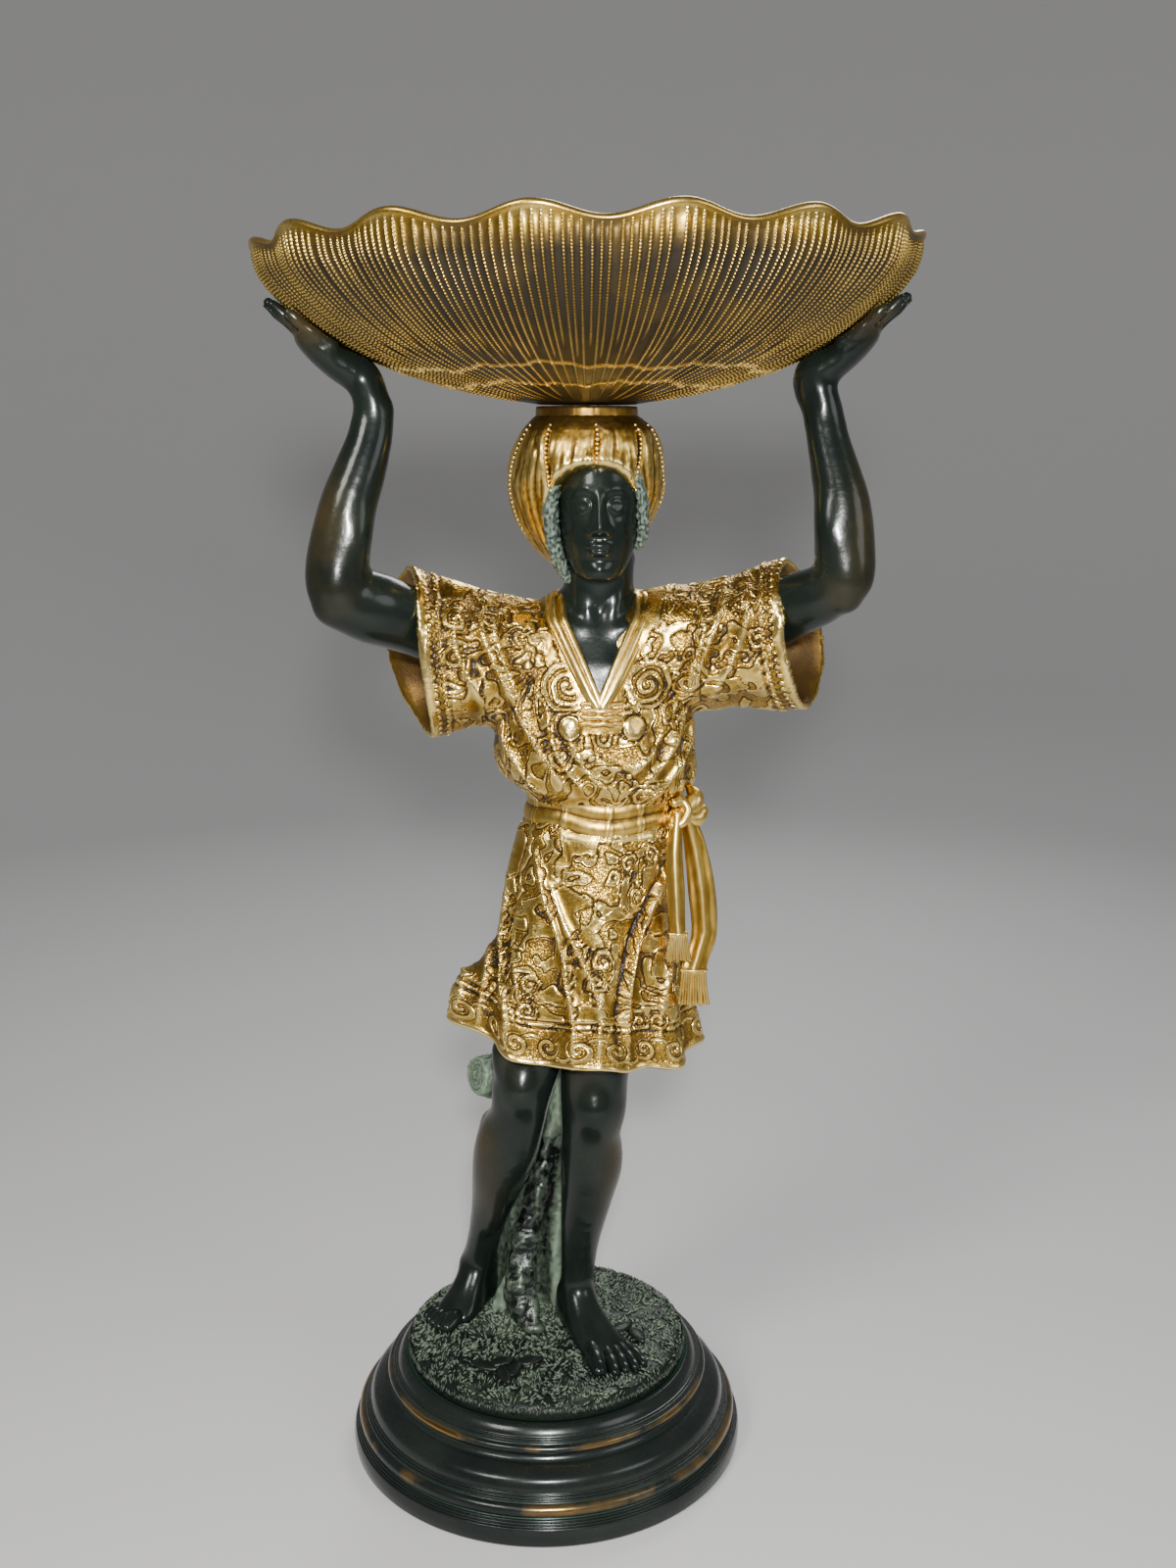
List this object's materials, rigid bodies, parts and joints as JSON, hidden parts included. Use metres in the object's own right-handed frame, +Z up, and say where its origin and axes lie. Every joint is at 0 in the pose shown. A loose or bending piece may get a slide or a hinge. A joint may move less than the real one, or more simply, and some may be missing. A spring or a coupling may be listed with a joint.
{
  "type": "figure statue with a dish",
  "caption": "Cast statue of a standing barefoot figure in tunic and turban that carries a wide scalloped shell dish overhead, on a grass mound and a round stepped plinth.",
  "frame": {"origin": "centre of the plinth's flat underside, on the surface the statue stands on", "axes": "+Z up, -Y the front that the figure faces, +X to the viewer's right when seen from the front"},
  "size_m": [0.4704, 0.3824, 0.9303],
  "materials": {
    "plinth": "dark green-black bronze patina rubbed to gold on the mouldings",
    "figure": "gold leaf look on cloth, green-black bronze patina on skin, stump and mound",
    "shell_dish": "aged gold with dark recesses between the ribs"
  },
  "bodies": {
    "root": {"plinth": "plinth", "figure": "figure", "shell_dish": "shell_dish"}
  },
  "joints": []
}
